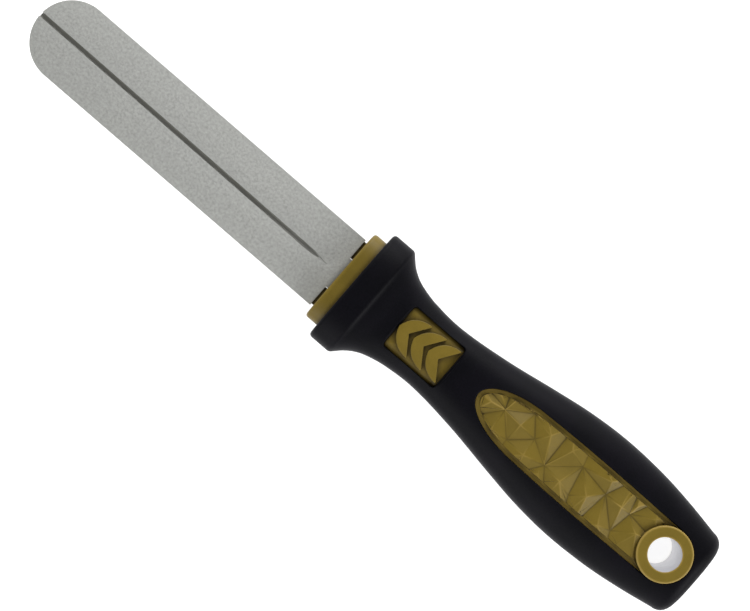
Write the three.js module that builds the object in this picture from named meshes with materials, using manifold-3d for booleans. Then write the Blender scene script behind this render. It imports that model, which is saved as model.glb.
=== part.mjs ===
// Pocket diamond sharpener: a grit-coated steel paddle with a hook groove, in a two-colour moulded handle.
// Units are millimetres. The tool lies on its back with +Z out of its front face and +X from tip to butt.
// Lengths along X are counted from the blade's tip, heights from the tool's middle plane. The outer group
// then puts the origin under the middle of the tool, on the surface that it lies on.
import * as THREE from 'three';
import { mergeVertices } from 'three/addons/utils/BufferGeometryUtils.js';
import { ConvexGeometry } from 'three/addons/geometries/ConvexGeometry.js';
import Module from 'manifold-3d';

const wasm = await Module();
wasm.setup();

// ---- Driving dimensions -------------------------------------------------------------------------------

const TOTAL_LENGTH = 220.2;

// Blade: a plate with a full-radius tip, square shoulders and a narrower tang.
const BLADE_HALF_WIDTH = 10.9;
const PLATE_HALF_THICKNESS = 1.1;
const GRIT_THICKNESS = 0.2;
const SHOULDER_X = 100.5;
const TANG_HALF_WIDTH = 4.75;
const TANG_END_X = 163;

// Hook groove: open at the tip, full depth for most of its length, then a ramp up to a sharp end.
const GROOVE_WIDTH = 1.25;
const GROOVE_DEPTH = 1.1;
const GROOVE_RAMP_X = 72.4;
const GROOVE_TAPER_X = 92.8;
const GROOVE_END_X = 97;
const GROOVE_TIP_Y = 0.46;
const GROOVE_SKEW = 0.0073;

// Collar: the hard end of the handle, between the blade's shoulders and the flange.
const COLLAR_FRONT_X = 101.3;
const COLLAR_HALF_WIDTH = 13.7;
const COLLAR_HALF_HEIGHT = 6.9;
const COLLAR_EDGE_RADIUS = 0.8;
const STOP_LIP_HALF_HEIGHT = 0.4;
const STOP_LIP_HALF_WIDTH = 10.4;

// Soft sleeve: flange, waisted neck, belly and butt. It is also the thickest piece.
const FLANGE_FRONT_X = 105.2;
const FLANGE_REAR_X = 111.3;
const FLANGE_HALF_WIDTH = 16.9;
const FLANGE_HALF_HEIGHT = 9.8;
const FLANGE_EDGE_RADIUS = 1;
const FLANGE_REAR_RADIUS = 1.5;
const BUTT_RADIUS = 3.5;
const SLEEVE_SECTION_POWER = 2.6;

// Neck and belly, as distance from the tip, half width and half thickness.
const NECK_AND_BELLY = [
  [114.6, 14.2, 8.95],
  [117.1, 12.5, 8.45],
  [119.7, 11.45, 8.15],
  [124.8, 10.33, 7.85],
  [133.8, 9.77, 7.7],
  [147.8, 11.15, 8.25],
  [163.2, 13.7, 9.1],
  [173.4, 15.2, 9.45],
  [184.5, 15.93, 9.6],
  [196.4, 15.5, 9.4],
  [206.6, 14.25, 9.05],
];
const BUTT_HALF_WIDTH = 12.45;
const BUTT_HALF_HEIGHT = 8.6;

// Hard core inside the sleeve, in two halves that close on the tang.
const SLEEVE_WALL = 2.2;
const FIT_GAP = 0.3;
const CORE_END_X = 216;
const CORE_SECTION_POWER = 3.2;

// Windows through the sleeve and the hard inlays that show in them.
const INLAY_RECESS = 1.1;
const THUMB_START_X = 121;
const THUMB_END_X = 138.1;
const THUMB_HALF_WIDTH = 6.5;
const THUMB_CORNER_RADIUS = 1.3;
const THUMB_SEAT_Z = 4.4;
const CHEVRON_COUNT = 3;
const CHEVRON_FIRST_X = 121.6;
const CHEVRON_PITCH = 4.96;
const CHEVRON_RELIEF_BELOW_GRIP = 0.15;

const PANEL_NOSE_X = 147.4;
const PANEL_NOSE_LENGTH = 18;
const PANEL_HALF_WIDTH = 7.4;
const PANEL_BULGE_X = 182;
const PANEL_BULGE_HALF_WIDTH = 8.05;
const PANEL_SEAT_Z = 5.4;
const RIM_WIDTH = 1.3;
const FACET_STEP = 0.25;
const FACET_RISE = 0.8;

// Hang ring and the metal tube that lines the hang hole.
const RING_X = 209.3;
const RING_RADIUS = 7.3;
const RING_FACE_Z = 9.4;
const RING_SEAT_Z = 6.2;
const TUBE_INNER_RADIUS = 4.35;
const TUBE_OUTER_RADIUS = 4.8;
const TUBE_HALF_LENGTH = 9.1;

// Pins that lock the tang between the core halves.
const PIN_RADIUS = 1.5;
const PIN_HALF_LENGTH = 3.4;
const PIN_PLACES = { tang_pin_fore: 113, tang_pin_aft: 156 };

// Smoothness of round forms.
const SLEEVE_SIDES = 32;
const CORE_SIDES = 16;
const NECK_STATIONS = 18;
const ARC_STEPS = 3;
const ROUND_SIDES = 32;
const PIN_SIDES = 12;
const TIP_ARC_STEPS = 24;
const CURVE_STEPS = 8;

const RING_GAP_RADIUS = RING_RADIUS + FIT_GAP;
const FAR = 30;

// ---- Materials ----------------------------------------------------------------------------------------

function finish(colour, roughness, metalness) {
  return new THREE.MeshStandardMaterial({ color: colour, roughness, metalness });
}

const FINISHES = {
  steel: () => finish(0x9b9c98, 0.35, 1),
  grit: () => finish(0xa8a9a6, 0.6, 0.7),
  olive: () => finish(0x7b662d, 0.55, 0),
  oliveDark: () => finish(0x5f5022, 0.6, 0),
  rubber: () => finish(0x1b1a20, 0.75, 0),
  tube: () => finish(0xc9c9cc, 0.3, 1),
};

// ---- Solid helpers ------------------------------------------------------------------------------------

// Turns a closed geometry into a solid that can be joined and cut.
function solid(geometry) {
  const plain = geometry.clone();
  plain.deleteAttribute('normal');
  plain.deleteAttribute('uv');
  const merged = mergeVertices(plain, 1e-4);
  return new wasm.Manifold(new wasm.Mesh({
    numProp: 3,
    vertProperties: new Float32Array(merged.attributes.position.array),
    triVerts: new Uint32Array(merged.index.array),
  }));
}

// The largest body of a solid, without the slivers that a cut can leave along a shared edge.
function mainBody(body) {
  return body.decompose().reduce((largest, part) => (part.volume() > largest.volume() ? part : largest));
}

// Turns a solid into a named mesh with its own material.
function piece(name, body, material) {
  const data = mainBody(body).getMesh();
  const geometry = new THREE.BufferGeometry();
  geometry.setAttribute('position', new THREE.BufferAttribute(new Float32Array(data.vertProperties), 3));
  geometry.setIndex(new THREE.BufferAttribute(new Uint32Array(data.triVerts), 1));
  geometry.computeVertexNormals();
  const mesh = new THREE.Mesh(geometry, material);
  mesh.name = name;
  return mesh;
}

// A plan shape made solid between two heights.
function slab(shape, lowZ, highZ, curveSegments = CURVE_STEPS) {
  const geometry = new THREE.ExtrudeGeometry(shape, {
    depth: highZ - lowZ,
    bevelEnabled: false,
    curveSegments,
  });
  geometry.translate(0, 0, lowZ);
  return solid(geometry);
}

// An upright round bar at (x, 0).
function bar(x, radius, lowZ, highZ, sides = ROUND_SIDES) {
  const geometry = new THREE.CylinderGeometry(radius, radius, highZ - lowZ, sides);
  geometry.rotateX(Math.PI / 2);
  geometry.translate(x, 0, (lowZ + highZ) / 2);
  return solid(geometry);
}

// An axis-aligned block between two corners.
function block(low, high) {
  const size = high.clone().sub(low);
  const geometry = new THREE.BoxGeometry(size.x, size.y, size.z);
  const middle = low.clone().add(high).multiplyScalar(0.5);
  geometry.translate(middle.x, middle.y, middle.z);
  return solid(geometry);
}

// The same solid seen through the middle plane, for the tool's back.
function toBack(body) {
  return body.rotate([180, 0, 0]);
}

function signedPower(value, power) {
  return Math.sign(value) * Math.abs(value) ** power;
}

// A closed loft along X. Each station has x, halfWidth and halfHeight, and its section is a superellipse.
function loft(stations, sides, sectionPower) {
  const rows = stations.length - 1;
  const geometry = new THREE.CylinderGeometry(1, 1, 1, sides, rows);
  const position = geometry.attributes.position;
  for (let i = 0; i < position.count; i += 1) {
    const station = stations[Math.round((position.getY(i) + 0.5) * rows)];
    const across = signedPower(-position.getX(i), 2 / sectionPower);
    const up = signedPower(position.getZ(i), 2 / sectionPower);
    position.setXYZ(i, station.x, across * station.halfWidth, up * station.halfHeight);
  }
  return solid(geometry);
}

// ---- Handle stations ----------------------------------------------------------------------------------

// Stations of a rounded edge that opens from an end face to the full section.
function roundedStart(x, halfWidth, halfHeight, radius) {
  const stations = [];
  for (let i = 0; i <= ARC_STEPS; i += 1) {
    const angle = (i / ARC_STEPS) * (Math.PI / 2);
    const inset = radius * (1 - Math.sin(angle));
    stations.push({
      x: x + radius * (1 - Math.cos(angle)),
      halfWidth: halfWidth - inset,
      halfHeight: halfHeight - inset,
    });
  }
  return stations;
}

// The flange's rear corner turns an eighth of a circle down to the neck.
function flangeRear() {
  const stations = [];
  for (let i = 0; i <= ARC_STEPS; i += 1) {
    const angle = (i / ARC_STEPS) * (Math.PI / 4);
    const inset = FLANGE_REAR_RADIUS * (1 - Math.cos(angle));
    stations.push({
      x: FLANGE_REAR_X + FLANGE_REAR_RADIUS * Math.sin(angle),
      halfWidth: FLANGE_HALF_WIDTH - inset,
      halfHeight: FLANGE_HALF_HEIGHT - inset,
    });
  }
  return stations;
}

// The whole outside of the sleeve, from the flange's front face to the butt.
function sleeveStations() {
  const rear = flangeRear();
  const corner = rear[rear.length - 1];
  const buttX = TOTAL_LENGTH - BUTT_RADIUS;
  const points = [
    [corner.x, corner.halfWidth, corner.halfHeight],
    ...NECK_AND_BELLY,
    [buttX, BUTT_HALF_WIDTH, BUTT_HALF_HEIGHT],
  ];
  const curve = new THREE.CatmullRomCurve3(points.map((p) => new THREE.Vector3(...p)));
  const neck = curve.getSpacedPoints(NECK_STATIONS).slice(1, -1);
  const butt = roundedStart(0, BUTT_HALF_WIDTH, BUTT_HALF_HEIGHT, BUTT_RADIUS).reverse();
  return [
    ...roundedStart(FLANGE_FRONT_X, FLANGE_HALF_WIDTH, FLANGE_HALF_HEIGHT, FLANGE_EDGE_RADIUS),
    ...rear,
    ...neck.map((p) => ({ x: p.x, halfWidth: p.y, halfHeight: p.z })),
    ...butt.map((station) => ({ ...station, x: TOTAL_LENGTH - station.x })),
  ];
}

const SLEEVE = sleeveStations();

// The sleeve's outside moved inwards by a depth.
function sunkSleeve(depth) {
  const stations = SLEEVE.map(({ x, halfWidth, halfHeight }) => ({
    x,
    halfWidth: halfWidth - depth,
    halfHeight: halfHeight - depth,
  }));
  return loft(stations, SLEEVE_SIDES, SLEEVE_SECTION_POWER);
}

// Height of the sunk sleeve's front above a point of the plan.
function sunkHeight(x, y, depth) {
  const after = SLEEVE.findIndex((station) => station.x >= x);
  const low = SLEEVE[after - 1];
  const high = SLEEVE[after];
  const t = (x - low.x) / (high.x - low.x);
  const halfWidth = THREE.MathUtils.lerp(low.halfWidth, high.halfWidth, t) - depth;
  const halfHeight = THREE.MathUtils.lerp(low.halfHeight, high.halfHeight, t) - depth;
  const side = Math.abs(y / halfWidth) ** SLEEVE_SECTION_POWER;
  return halfHeight * (1 - side) ** (1 / SLEEVE_SECTION_POWER);
}

// The core, or with a gap the cavity that holds it. At the front it is no wider than the collar.
function coreBody(gap) {
  const widest = COLLAR_HALF_WIDTH - COLLAR_EDGE_RADIUS;
  const tallest = COLLAR_HALF_HEIGHT - COLLAR_EDGE_RADIUS;
  const inside = SLEEVE
    .filter((station) => station.x > FLANGE_REAR_X && station.x < CORE_END_X)
    .filter((station, index) => index % 2 === 0)
    .map(({ x, halfWidth, halfHeight }) => ({
      x,
      halfWidth: halfWidth - SLEEVE_WALL,
      halfHeight: halfHeight - SLEEVE_WALL,
    }));
  const mouth = { x: FLANGE_FRONT_X - (gap > 0 ? 1 : 0), halfWidth: widest, halfHeight: tallest };
  const stations = [mouth, ...inside, { ...inside[inside.length - 1], x: CORE_END_X + gap }]
    .map(({ x, halfWidth, halfHeight }) => ({
      x,
      halfWidth: (x < THUMB_START_X ? Math.min(halfWidth, widest) : halfWidth) + gap,
      halfHeight: (x < THUMB_START_X ? Math.min(halfHeight, tallest) : halfHeight) + gap,
    }));
  return loft(stations, CORE_SIDES, CORE_SECTION_POWER);
}

// ---- Plan outlines ------------------------------------------------------------------------------------

function bladeOutline(endX, endHalfWidth) {
  const shape = new THREE.Shape();
  shape.moveTo(endX, -endHalfWidth);
  shape.lineTo(endX, endHalfWidth);
  shape.lineTo(SHOULDER_X, endHalfWidth);
  if (endHalfWidth < BLADE_HALF_WIDTH) {
    shape.lineTo(SHOULDER_X, BLADE_HALF_WIDTH);
  }
  shape.absarc(BLADE_HALF_WIDTH, 0, BLADE_HALF_WIDTH, Math.PI / 2, (3 * Math.PI) / 2, false);
  if (endHalfWidth < BLADE_HALF_WIDTH) {
    shape.lineTo(SHOULDER_X, -BLADE_HALF_WIDTH);
    shape.lineTo(SHOULDER_X, -endHalfWidth);
  }
  return shape;
}

function thumbOutline(margin) {
  const low = THUMB_START_X + margin;
  const high = THUMB_END_X - margin;
  const side = THUMB_HALF_WIDTH - margin;
  const r = THUMB_CORNER_RADIUS;
  const shape = new THREE.Shape();
  shape.moveTo(low + r, -side);
  shape.lineTo(high - r, -side);
  shape.absarc(high - r, -side + r, r, -Math.PI / 2, 0, false);
  shape.absarc(high - r, side - r, r, 0, Math.PI / 2, false);
  shape.absarc(low + r, side - r, r, Math.PI / 2, Math.PI, false);
  shape.absarc(low + r, -side + r, r, Math.PI, (3 * Math.PI) / 2, false);
  return shape;
}

// The boat-shaped panel: an elliptical nose and slightly bulging sides that end under the hang ring.
function panelOutline(margin) {
  const noseEndX = PANEL_NOSE_X + PANEL_NOSE_LENGTH;
  const side = PANEL_HALF_WIDTH - margin;
  const bulge = PANEL_BULGE_HALF_WIDTH - margin;
  const shape = new THREE.Shape();
  shape.moveTo(RING_X, side);
  shape.quadraticCurveTo(PANEL_BULGE_X, bulge, noseEndX, side);
  shape.absellipse(noseEndX, 0, PANEL_NOSE_LENGTH - margin, side, Math.PI / 2, (3 * Math.PI) / 2, false);
  shape.quadraticCurveTo(PANEL_BULGE_X, -bulge, RING_X, -side);
  return shape;
}

// One chevron pointing at the blade: curved outer edges and a straight notch behind.
function chevronOutline(noseX) {
  const shape = new THREE.Shape();
  shape.moveTo(noseX, 0);
  shape.quadraticCurveTo(noseX + 1.3, -4.9, noseX + 6.2, -5.2);
  shape.lineTo(noseX + 6.3, -4.9);
  shape.lineTo(noseX + 3.3, 0);
  shape.lineTo(noseX + 6.3, 4.9);
  shape.lineTo(noseX + 6.2, 5.2);
  shape.quadraticCurveTo(noseX + 1.3, 4.9, noseX, 0);
  return shape;
}

// ---- Facets -------------------------------------------------------------------------------------------

// Corners where the valleys between the low pyramids meet, as x and y.
const FACET_CORNERS = {
  nose: [149, 0.2],
  top1: [154, 4.6],
  low1: [153.5, -4.4],
  mid1: [155.8, 1.8],
  top2: [161.9, 5.8],
  mid2: [161.1, -4.1],
  low2: [160.5, -5.8],
  mid3: [166.5, 1],
  top3: [172.4, 6.3],
  mid4: [172.6, -2.6],
  low3: [174, -6.3],
  top4: [181.5, 6.4],
  mid5: [180.1, 3.3],
  mid6: [182.6, -4.9],
  low4: [182.8, -6.4],
  mid7: [189, 1.3],
  low5: [188.5, -6.4],
  top5: [191.8, 6.4],
  mid8: [196.2, -5.1],
  low6: [197, -6.4],
  mid9: [197.4, 1.5],
  top6: [199, 6.3],
  ring1: [203.4, 6.2],
  ring2: [203.4, 0.5],
  ring3: [203.4, -6.2],
};

// Each pyramid has a peak and the corners round it.
const PYRAMIDS = [
  { peak: [152.6, 0.6], corners: ['nose', 'top1', 'mid1', 'low1'] },
  { peak: [157.2, 4], corners: ['top1', 'top2', 'mid1'] },
  { peak: [156.6, -3.4], corners: ['low1', 'mid1', 'mid2', 'low2'] },
  { peak: [161.4, 1], corners: ['mid1', 'top2', 'mid3', 'mid2'] },
  { peak: [167, -3.6], corners: ['mid2', 'mid3', 'mid4', 'low3', 'low2'] },
  { peak: [168.6, 3.6], corners: ['top2', 'top3', 'mid4', 'mid3'] },
  { peak: [176, 4.2], corners: ['top3', 'top4', 'mid5', 'mid4'] },
  { peak: [178.5, -2.8], corners: ['mid4', 'mid5', 'mid6', 'low4', 'low3'] },
  { peak: [185.7, -2], corners: ['mid5', 'mid7', 'low5', 'low4', 'mid6'] },
  { peak: [187, 4.4], corners: ['top4', 'top5', 'mid7', 'mid5'] },
  { peak: [194.4, 1.8], corners: ['mid7', 'top5', 'mid9', 'mid8'] },
  { peak: [193, -4.8], corners: ['mid7', 'mid8', 'low6', 'low5'] },
  { peak: [196.3, 4.8], corners: ['top5', 'top6', 'mid9'] },
  { peak: [200.6, -1.6], corners: ['mid9', 'ring2', 'ring3', 'low6', 'mid8'] },
  { peak: [200.8, 4], corners: ['mid9', 'top6', 'ring1', 'ring2'] },
];

// One pyramid as a convex solid whose foot reaches down into the panel.
function pyramid({ peak, corners }) {
  const floorDepth = INLAY_RECESS - FACET_STEP;
  const points = [];
  for (const name of corners) {
    const [x, y] = FACET_CORNERS[name];
    const z = sunkHeight(x, y, floorDepth);
    points.push(new THREE.Vector3(x, y, z));
    points.push(new THREE.Vector3(x, y, PANEL_SEAT_Z + 1));
  }
  const [x, y] = peak;
  points.push(new THREE.Vector3(x, y, sunkHeight(x, y, floorDepth) + FACET_RISE));
  return solid(new ConvexGeometry(points));
}

// ---- Pieces -------------------------------------------------------------------------------------------

// The groove's cutter: its plan outline and its depth profile, crossed with each other.
function grooveCutter() {
  const half = GROOVE_WIDTH / 2;
  const faceZ = PLATE_HALF_THICKNESS + GRIT_THICKNESS;
  const plan = new THREE.Shape();
  plan.moveTo(-1, -half);
  plan.lineTo(GROOVE_TAPER_X, -half);
  plan.lineTo(GROOVE_END_X, 0);
  plan.lineTo(GROOVE_TAPER_X, half);
  plan.lineTo(-1, half);
  const profile = new THREE.Shape();
  profile.moveTo(-1, faceZ - GROOVE_DEPTH);
  profile.lineTo(GROOVE_RAMP_X, faceZ - GROOVE_DEPTH);
  profile.lineTo(GROOVE_END_X, faceZ - GRIT_THICKNESS / 2);
  profile.lineTo(GROOVE_END_X, faceZ + 1);
  profile.lineTo(-1, faceZ + 1);
  const side = new THREE.ExtrudeGeometry(profile, { depth: GROOVE_WIDTH * 2, bevelEnabled: false });
  side.rotateX(Math.PI / 2);
  side.translate(0, GROOVE_WIDTH, 0);
  const cutter = slab(plan, 0, faceZ + 1).intersect(solid(side));
  const degrees = THREE.MathUtils.radToDeg(-GROOVE_SKEW);
  return cutter.rotate([0, 0, degrees]).translate([0, GROOVE_TIP_Y, 0]);
}

function pinHoles(radius, halfLength) {
  const [fore, aft] = Object.values(PIN_PLACES)
    .map((x) => bar(x, radius, -halfLength, halfLength, PIN_SIDES));
  return fore.add(aft);
}

function bladePlate() {
  const outline = bladeOutline(TANG_END_X, TANG_HALF_WIDTH);
  return slab(outline, -PLATE_HALF_THICKNESS, PLATE_HALF_THICKNESS, TIP_ARC_STEPS)
    .subtract(grooveCutter())
    .subtract(pinHoles(PIN_RADIUS + FIT_GAP, PIN_HALF_LENGTH));
}

function gritLayer() {
  const outline = bladeOutline(SHOULDER_X, BLADE_HALF_WIDTH);
  return slab(outline, PLATE_HALF_THICKNESS, PLATE_HALF_THICKNESS + GRIT_THICKNESS, TIP_ARC_STEPS);
}

// Room for the tang in the pieces around it.
function tangSlot() {
  const low = new THREE.Vector3(
    SHOULDER_X,
    -TANG_HALF_WIDTH - FIT_GAP,
    -PLATE_HALF_THICKNESS - FIT_GAP,
  );
  const high = new THREE.Vector3(TANG_END_X + FIT_GAP, -low.y, -low.z);
  return block(low, high);
}

// The collar has a thin lip in front on each side of the tang, where the blade's shoulders stop.
function collar() {
  const stations = roundedStart(
    COLLAR_FRONT_X,
    COLLAR_HALF_WIDTH,
    COLLAR_HALF_HEIGHT,
    COLLAR_EDGE_RADIUS,
  );
  const full = stations[stations.length - 1];
  stations.push({ ...full, x: FLANGE_FRONT_X });
  const lip = block(
    new THREE.Vector3(SHOULDER_X, -STOP_LIP_HALF_WIDTH, -STOP_LIP_HALF_HEIGHT),
    new THREE.Vector3(FLANGE_FRONT_X, STOP_LIP_HALF_WIDTH, STOP_LIP_HALF_HEIGHT),
  );
  return loft(stations, SLEEVE_SIDES, CORE_SECTION_POWER).add(lip).subtract(tangSlot());
}

function sleeve() {
  return sunkSleeve(0)
    .subtract(coreBody(FIT_GAP))
    .subtract(slab(thumbOutline(0), -FAR, FAR))
    .subtract(slab(panelOutline(0), -FAR, FAR))
    .subtract(bar(RING_X, RING_GAP_RADIUS, -FAR, FAR));
}

// The front half of the core, with its seats for the tang, the pins and the inlays.
function coreHalf() {
  const half = block(
    new THREE.Vector3(COLLAR_FRONT_X, -FAR, 0),
    new THREE.Vector3(TOTAL_LENGTH, FAR, FAR),
  );
  return coreBody(0)
    .intersect(half)
    .subtract(tangSlot())
    .subtract(pinHoles(PIN_RADIUS + FIT_GAP, PIN_HALF_LENGTH))
    .subtract(slab(thumbOutline(0), THUMB_SEAT_Z, FAR))
    .subtract(slab(panelOutline(0), PANEL_SEAT_Z, FAR))
    .subtract(bar(RING_X, RING_GAP_RADIUS, RING_SEAT_Z, FAR))
    .subtract(bar(RING_X, TUBE_OUTER_RADIUS + FIT_GAP, -FAR, FAR));
}

// The thumb rest: a sunken plate with raised chevrons that point at the blade.
function thumbPlate() {
  let relief = slab(thumbOutline(FIT_GAP), THUMB_SEAT_Z, FAR).intersect(sunkSleeve(INLAY_RECESS));
  const crown = sunkSleeve(CHEVRON_RELIEF_BELOW_GRIP);
  for (let i = 0; i < CHEVRON_COUNT; i += 1) {
    const outline = chevronOutline(CHEVRON_FIRST_X + i * CHEVRON_PITCH);
    const reach = slab(outline, THUMB_SEAT_Z + 1, FAR).intersect(crown);
    relief = relief.add(reach.intersect(slab(thumbOutline(FIT_GAP), THUMB_SEAT_Z, FAR)));
  }
  return relief;
}

// The grip panel: a flat rim round a slightly raised field of low pyramids.
function gripPanel() {
  const rim = slab(panelOutline(FIT_GAP), PANEL_SEAT_Z, FAR).intersect(sunkSleeve(INLAY_RECESS));
  const fieldPlan = slab(panelOutline(RIM_WIDTH), PANEL_SEAT_Z + 1, FAR);
  let field = fieldPlan.intersect(sunkSleeve(INLAY_RECESS - FACET_STEP));
  for (const shape of PYRAMIDS) {
    field = field.add(pyramid(shape).intersect(fieldPlan));
  }
  return rim.add(field).subtract(bar(RING_X, RING_GAP_RADIUS, -FAR, FAR));
}

function hangRing() {
  const ring = bar(RING_X, RING_RADIUS, RING_SEAT_Z, RING_FACE_Z);
  return ring.subtract(bar(RING_X, TUBE_OUTER_RADIUS + FIT_GAP, -FAR, FAR));
}

function lanyardTube() {
  const wall = bar(RING_X, TUBE_OUTER_RADIUS, -TUBE_HALF_LENGTH, TUBE_HALF_LENGTH);
  return wall.subtract(bar(RING_X, TUBE_INNER_RADIUS, -FAR, FAR));
}

// ---- Assembly -----------------------------------------------------------------------------------------

const tool = new THREE.Group();
tool.position.set(-TOTAL_LENGTH / 2, 0, FLANGE_HALF_HEIGHT);

tool.add(piece('blade_plate', bladePlate(), FINISHES.steel()));
tool.add(piece('front_diamond_layer', gritLayer().subtract(grooveCutter()), FINISHES.grit()));
tool.add(piece('back_diamond_layer', toBack(gritLayer()), FINISHES.grit()));
tool.add(piece('collar', collar(), FINISHES.olive()));
tool.add(piece('grip_sleeve', sleeve(), FINISHES.rubber()));
tool.add(piece('lanyard_tube', lanyardTube(), FINISHES.tube()));

for (const [name, x] of Object.entries(PIN_PLACES)) {
  const pin = bar(x, PIN_RADIUS, -PIN_HALF_LENGTH, PIN_HALF_LENGTH, PIN_SIDES);
  tool.add(piece(name, pin, FINISHES.steel()));
}

// The inlays and core halves are alike on the front and the back.
const paired = [
  ['core', '_half', coreHalf(), FINISHES.oliveDark],
  ['thumb_plate', '', thumbPlate(), FINISHES.olive],
  ['grip_panel', '', gripPanel(), FINISHES.olive],
  ['hang_ring', '', hangRing(), FINISHES.olive],
];
for (const [stem, ending, body, material] of paired) {
  const front = ending ? `${stem}_front${ending}` : `front_${stem}`;
  const back = ending ? `${stem}_back${ending}` : `back_${stem}`;
  tool.add(piece(front, body, material()));
  tool.add(piece(back, toBack(body), material()));
}

export default tool;
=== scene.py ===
"""A pocket diamond sharpener: coated steel paddle with a hook groove, in a two-colour moulded handle."""

import logging
import math
from collections.abc import Callable, Sequence
from dataclasses import dataclass
from enum import Enum
from functools import cache
from typing import ClassVar

import bmesh
import bpy
from mathutils import Matrix, Vector


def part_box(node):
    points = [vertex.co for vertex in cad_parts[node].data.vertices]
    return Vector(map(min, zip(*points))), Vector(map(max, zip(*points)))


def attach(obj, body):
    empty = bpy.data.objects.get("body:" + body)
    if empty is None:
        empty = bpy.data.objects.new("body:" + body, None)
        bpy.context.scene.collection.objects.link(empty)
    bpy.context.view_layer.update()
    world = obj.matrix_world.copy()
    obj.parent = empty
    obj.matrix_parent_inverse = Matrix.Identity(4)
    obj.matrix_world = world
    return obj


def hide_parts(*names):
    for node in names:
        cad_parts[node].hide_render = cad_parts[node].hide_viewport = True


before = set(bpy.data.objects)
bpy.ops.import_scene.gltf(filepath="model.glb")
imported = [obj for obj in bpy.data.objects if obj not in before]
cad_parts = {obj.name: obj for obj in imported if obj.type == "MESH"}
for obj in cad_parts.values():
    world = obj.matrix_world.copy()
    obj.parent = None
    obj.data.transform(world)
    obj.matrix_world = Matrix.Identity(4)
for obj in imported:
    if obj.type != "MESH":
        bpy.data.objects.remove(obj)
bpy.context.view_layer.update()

log = logging.getLogger("diamond_sharpener")

MM = 0.001
BODY = "root"
# Edges that bend more than this many degrees are walls, not ridges or valleys.
STEEP_BEND = 50
# Millimetres: how far a cutter reaches past what it cuts, how tall a cutter from a seat is, how close
# two places are to count as one, and how close points are to be merged.
OVERCUT = 1.0
TALL_CUT = 10.0
SAME = 1e-3
WELD = 1e-5

# Pieces are shaped in the tool's own space: millimetres, X from the blade's tip, Z from the middle plane.
PLATE_LOW, PLATE_HIGH = (Vector(corner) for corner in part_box("blade_plate"))
TO_ROW = Matrix.Translation((PLATE_LOW.x, 0, (PLATE_LOW.z + PLATE_HIGH.z) / 2)) @ Matrix.Scale(MM, 4)
TO_TOOL = TO_ROW.inverted()
# The camera looks at this place, just behind the flange.
AIM = TO_ROW @ Vector((113.2, -0.2, 0))

Ring = Sequence[Vector]


# ---- Shaping ------------------------------------------------------------------------------------------


class Side(Enum):
    """The tool's two faces. The back's pieces are the front's, turned half a turn about X."""

    FRONT = "front"
    BACK = "back"

    def turn(self) -> Matrix:
        """Returns: the turn that takes a front piece to this side."""
        return Matrix.Identity(4) if self is Side.FRONT else Matrix.Rotation(math.pi, 4, "X")


class Join(Enum):
    """How one solid is combined with another."""

    ADD = "UNION"
    CUT = "DIFFERENCE"
    KEEP = "INTERSECT"


@cache
def span(node: str) -> tuple[Vector, Vector]:
    """The box of a frame node in the tool's own space.

    Args:
        node: the node's name.

    Returns:
        Its lowest and highest corners, in millimetres.
    """
    low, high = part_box(node)
    return TO_TOOL @ Vector(low), TO_TOOL @ Vector(high)


def signed_power(value: float, power: float) -> float:
    """Returns: the value's size to a power, with its sign kept."""
    return math.copysign(abs(value) ** power, value)


def arc(steps: int, start: float, end: float) -> list[float]:
    """Returns: steps + 1 evenly spaced angles from start to end, given in degrees, in radians."""
    return [math.radians(start + (end - start) * i / steps) for i in range(steps + 1)]


def circle(radius: float, x: float, steps: int) -> list[Vector]:
    """Returns: a plan circle centred on the tool's axis, anticlockwise."""
    return [Vector((x + radius * math.cos(a), radius * math.sin(a), 0)) for a in arc(steps, 0, 360)[:-1]]


def rectangle(start: float, end: float, half_width: float) -> list[Vector]:
    """Returns: a plan rectangle across the tool's axis, anticlockwise."""
    corners = ((start, -half_width), (end, -half_width), (end, half_width), (start, half_width))
    return [Vector((x, y, 0)) for x, y in corners]


def offset(outline: Ring, distance: float) -> list[Vector]:
    """Moves a closed plan outline sideways.

    Args:
        outline: its points, anticlockwise.
        distance: how far outwards, or inwards if negative, in millimetres.

    Returns:
        The moved points, one for each point of the outline.
    """
    moved = []
    for i, point in enumerate(outline):
        along = (outline[(i + 1) % len(outline)] - outline[i - 1]).normalized()
        moved.append(point + Vector((along.y, -along.x, 0)) * distance)
    return moved


def lifted(outline: Ring, height: Callable[[Vector], float]) -> list[Vector]:
    """Returns: the outline's points, each at the height that the function gives for it."""
    return [Vector((p.x, p.y, height(p))) for p in outline]


def skin(rings: Sequence[Ring]) -> bmesh.types.BMesh:
    """Stretches a skin over a stack of rings and closes its ends.

    Args:
        rings: rings with the same number of points each. A ring may shrink to a point.

    Returns:
        A closed mesh.
    """
    bm = bmesh.new()
    columns, rows = len(rings[0]), len(rings) - 1
    grid = bmesh.ops.create_grid(bm, x_segments=columns, y_segments=rows, size=0.5)
    for vert in grid["verts"]:
        column = round((vert.co.x + 0.5) * columns) % columns
        row = round((vert.co.y + 0.5) * rows)
        vert.co = rings[row][column]
    bmesh.ops.remove_doubles(bm, verts=bm.verts[:], dist=WELD)
    bmesh.ops.holes_fill(bm, edges=[edge for edge in bm.edges if edge.is_boundary], sides=0)
    bmesh.ops.recalc_face_normals(bm, faces=bm.faces[:])
    return bm


def prism(outline: Ring, low: float, high: float) -> bmesh.types.BMesh:
    """Returns: the closed mesh of a plan outline between two heights."""
    bm = bmesh.new()
    face = bm.faces.new([bm.verts.new((p.x, p.y, low)) for p in outline])
    grown = bmesh.ops.extrude_face_region(bm, geom=[face], use_keep_orig=True)
    top = [item for item in grown["geom"] if isinstance(item, bmesh.types.BMVert)]
    bmesh.ops.translate(bm, verts=top, vec=(0, 0, high - low))
    bmesh.ops.recalc_face_normals(bm, faces=bm.faces[:])
    return bm


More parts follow.
